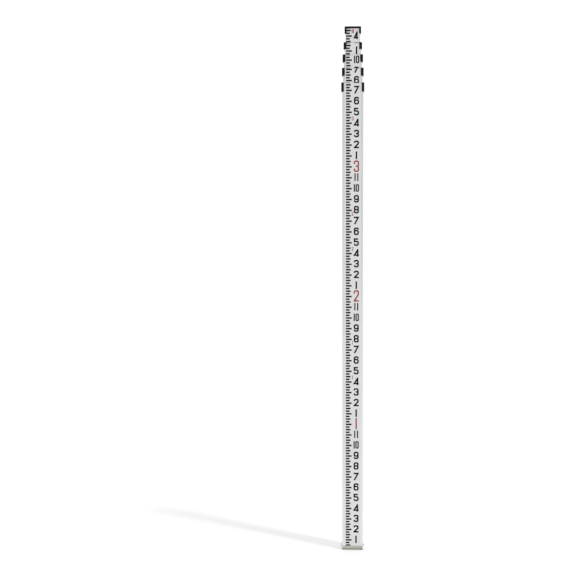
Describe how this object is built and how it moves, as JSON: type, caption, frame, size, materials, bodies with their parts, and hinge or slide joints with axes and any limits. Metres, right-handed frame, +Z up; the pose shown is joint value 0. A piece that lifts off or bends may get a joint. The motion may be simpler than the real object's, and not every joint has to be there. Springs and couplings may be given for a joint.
{
  "type": "telescoping levelling rod",
  "caption": "Telescoping aluminium levelling rod with a graduated front face, black open-front collars, spring lock buttons at the back and a metal foot.",
  "frame": {"origin": "bottom centre of the foot, which is the zero of the scale", "axes": "+Z up the rod; the graduated face looks along -Y; the lock buttons look along +Y; +X is to the right of a person reading the scale"},
  "size_m": [0.0544, 0.0352, 1.2392],
  "materials": {
    "anodised_aluminium": "satin clear-anodised extrusion with fine lengthwise grain",
    "white_enamel": "white enamelled scale strip, semi-gloss",
    "black_plastic": "moulded black plastic, fine texture",
    "guide_nylon": "black glass-filled nylon",
    "button_metal": "turned brass, satin",
    "spring_steel": "drawn spring wire",
    "rivet_steel": "plain aluminium rivet",
    "screw_steel": "zinc-plated pan head",
    "cast_shoe": "cast zinc shoe, worn bare metal",
    "buffer_rubber": "moulded rubber pad"
  },
  "bodies": {
    "section_1": {"section_1_tube": "anodised_aluminium", "section_1_scale": "white_enamel", "section_1_collar": "black_plastic", "section_1_collar_rivets": "rivet_steel", "foot_shoe": "cast_shoe", "foot_buffer": "buffer_rubber", "foot_screws": "screw_steel"},
    "section_2": {"section_2_tube": "anodised_aluminium", "section_2_scale": "white_enamel", "section_2_collar": "black_plastic", "section_2_collar_rivets": "rivet_steel", "section_2_plug": "guide_nylon", "section_2_plug_rivets": "rivet_steel", "section_2_button_spring": "spring_steel"},
    "section_3": {"section_3_tube": "anodised_aluminium", "section_3_scale": "white_enamel", "section_3_collar": "black_plastic", "section_3_collar_rivets": "rivet_steel", "section_3_plug": "guide_nylon", "section_3_plug_rivets": "rivet_steel", "section_3_button_spring": "spring_steel"},
    "section_4": {"section_4_tube": "anodised_aluminium", "section_4_scale": "white_enamel", "section_4_collar": "black_plastic", "section_4_collar_rivets": "rivet_steel", "section_4_plug": "guide_nylon", "section_4_plug_rivets": "rivet_steel", "section_4_button_spring": "spring_steel"},
    "section_5": {"section_5_tube": "anodised_aluminium", "section_5_scale": "white_enamel", "top_cap": "black_plastic", "top_cap_rivets": "rivet_steel", "section_5_plug": "guide_nylon", "section_5_plug_rivets": "rivet_steel", "section_5_button_spring": "spring_steel"},
    "button_2": {"section_2_button": "button_metal"},
    "button_3": {"section_3_button": "button_metal"},
    "button_4": {"section_4_button": "button_metal"},
    "button_5": {"section_5_button": "button_metal"}
  },
  "joints": [
    {"name": "section_2_slide", "type": "slide", "parent": "section_1", "child": "section_2", "axis": [0, 0, 1], "range_m": [0, 0.866]},
    {"name": "section_3_slide", "type": "slide", "parent": "section_2", "child": "section_3", "axis": [0, 0, 1], "range_m": [0, 0.9687]},
    {"name": "section_4_slide", "type": "slide", "parent": "section_3", "child": "section_4", "axis": [0, 0, 1], "range_m": [0, 0.9693]},
    {"name": "section_5_slide", "type": "slide", "parent": "section_4", "child": "section_5", "axis": [0, 0, 1], "range_m": [0, 0.9559]},
    {"name": "button_2_press", "type": "slide", "parent": "section_2", "child": "button_2", "axis": [0, 1, 0], "range_m": [0, 0.0031], "stiffness_N_per_m": 800, "springref_m": 0.0055, "deforming": ["section_2_button_spring"]},
    {"name": "button_3_press", "type": "slide", "parent": "section_3", "child": "button_3", "axis": [0, 1, 0], "range_m": [0, 0.0031], "stiffness_N_per_m": 800, "springref_m": 0.0055, "deforming": ["section_3_button_spring"]},
    {"name": "button_4_press", "type": "slide", "parent": "section_4", "child": "button_4", "axis": [0, 1, 0], "range_m": [0, 0.0031], "stiffness_N_per_m": 800, "springref_m": 0.0055, "deforming": ["section_4_button_spring"]},
    {"name": "button_5_press", "type": "slide", "parent": "section_5", "child": "button_5", "axis": [0, 1, 0], "range_m": [0, 0.0031], "stiffness_N_per_m": 800, "springref_m": 0.0055, "deforming": ["section_5_button_spring"]}
  ]
}
